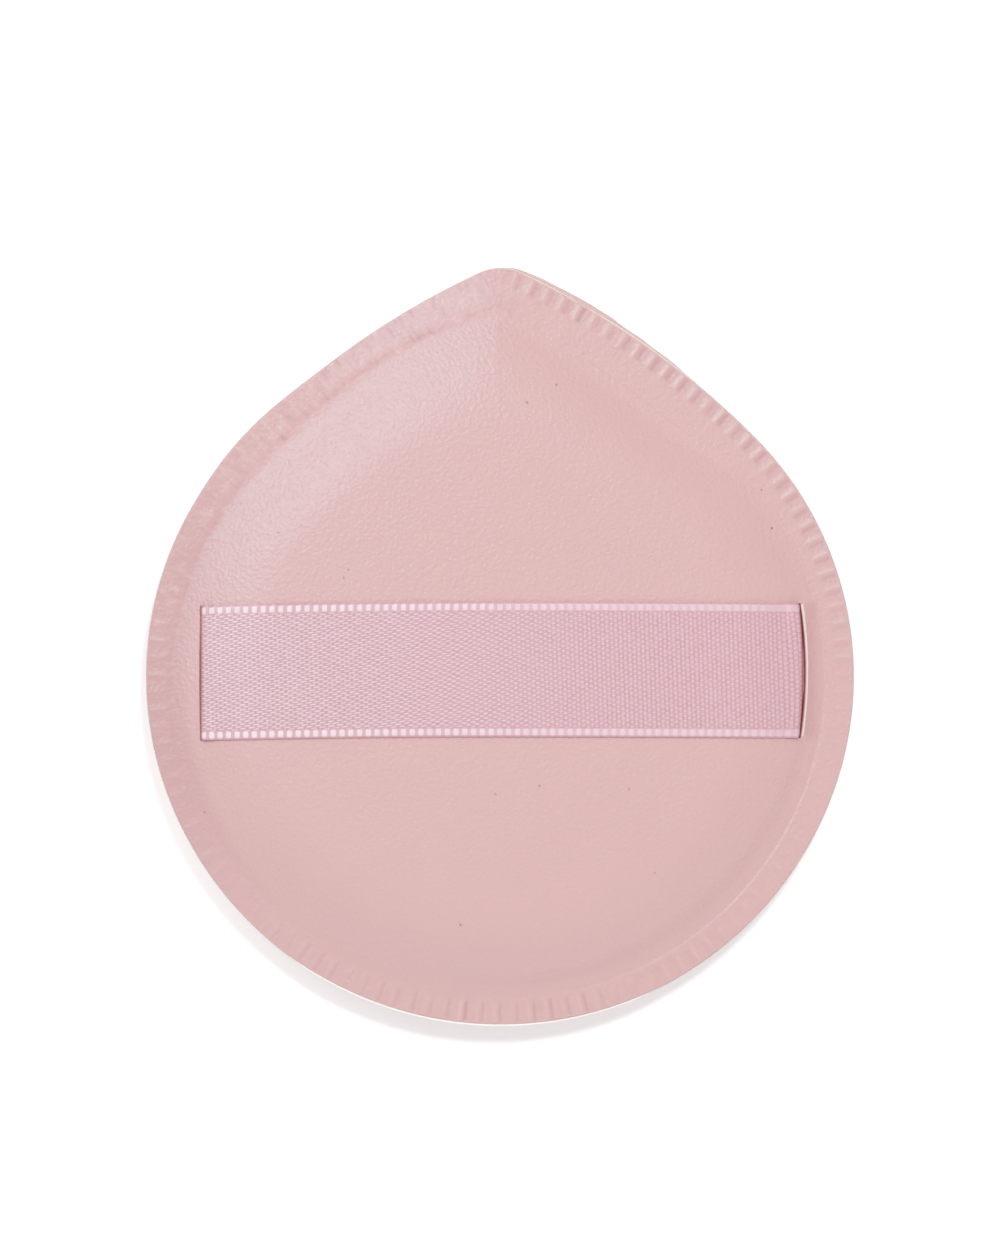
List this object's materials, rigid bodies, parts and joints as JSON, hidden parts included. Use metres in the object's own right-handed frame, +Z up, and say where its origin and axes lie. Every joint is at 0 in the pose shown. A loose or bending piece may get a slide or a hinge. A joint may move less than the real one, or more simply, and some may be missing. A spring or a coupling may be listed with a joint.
{
  "type": "makeup puff",
  "caption": "Flat teardrop makeup puff: a soft bowl-shaped face and foam filling under a crowned leatherette back with a crimped rim, held by a satin ribbon over the fingers.",
  "frame": {"origin": "middle of the outline's bounding box, on the surface that the puff lies on with its soft face down", "axes": "+Z up, out of the ribbon side; +Y towards the pointed end; +X along the ribbon, to the right when looking down on the ribbon side with the point away"},
  "size_m": [0.0634, 0.068, 0.0094],
  "materials": {
    "applicator_skin": "fine-pored microfoam, velvety and matte, dusty pink",
    "barrier_film": "thin milky film",
    "foam": "cream open-cell sponge foam",
    "backing_cloth": "cream brushed base cloth of the leatherette",
    "leatherette": "dusty pink leatherette with a faint fine grain and a soft satin sheen, crimped along its edge",
    "satin_ribbon": "pink satin ribbon with woven selvedges and a soft sheen along its length",
    "glue_patch": "cream adhesive-coated cloth"
  },
  "bodies": {
    "puff": {"applicator_skin": "applicator_skin", "barrier_film": "barrier_film", "foam_core": "foam", "back_pad": "foam", "cover_backing": "backing_cloth", "back_cover": "leatherette", "ribbon_end_left": "satin_ribbon", "ribbon_end_right": "satin_ribbon", "glue_patch_left": "glue_patch", "glue_patch_right": "glue_patch"},
    "ribbon": {"finger_ribbon": "satin_ribbon"}
  },
  "joints": [
    {"name": "ribbon_lift", "type": "slide", "parent": "puff", "child": "ribbon", "axis": [0, 0, 1], "range_m": [0, 0.008], "stiffness_N_per_m": 20}
  ]
}
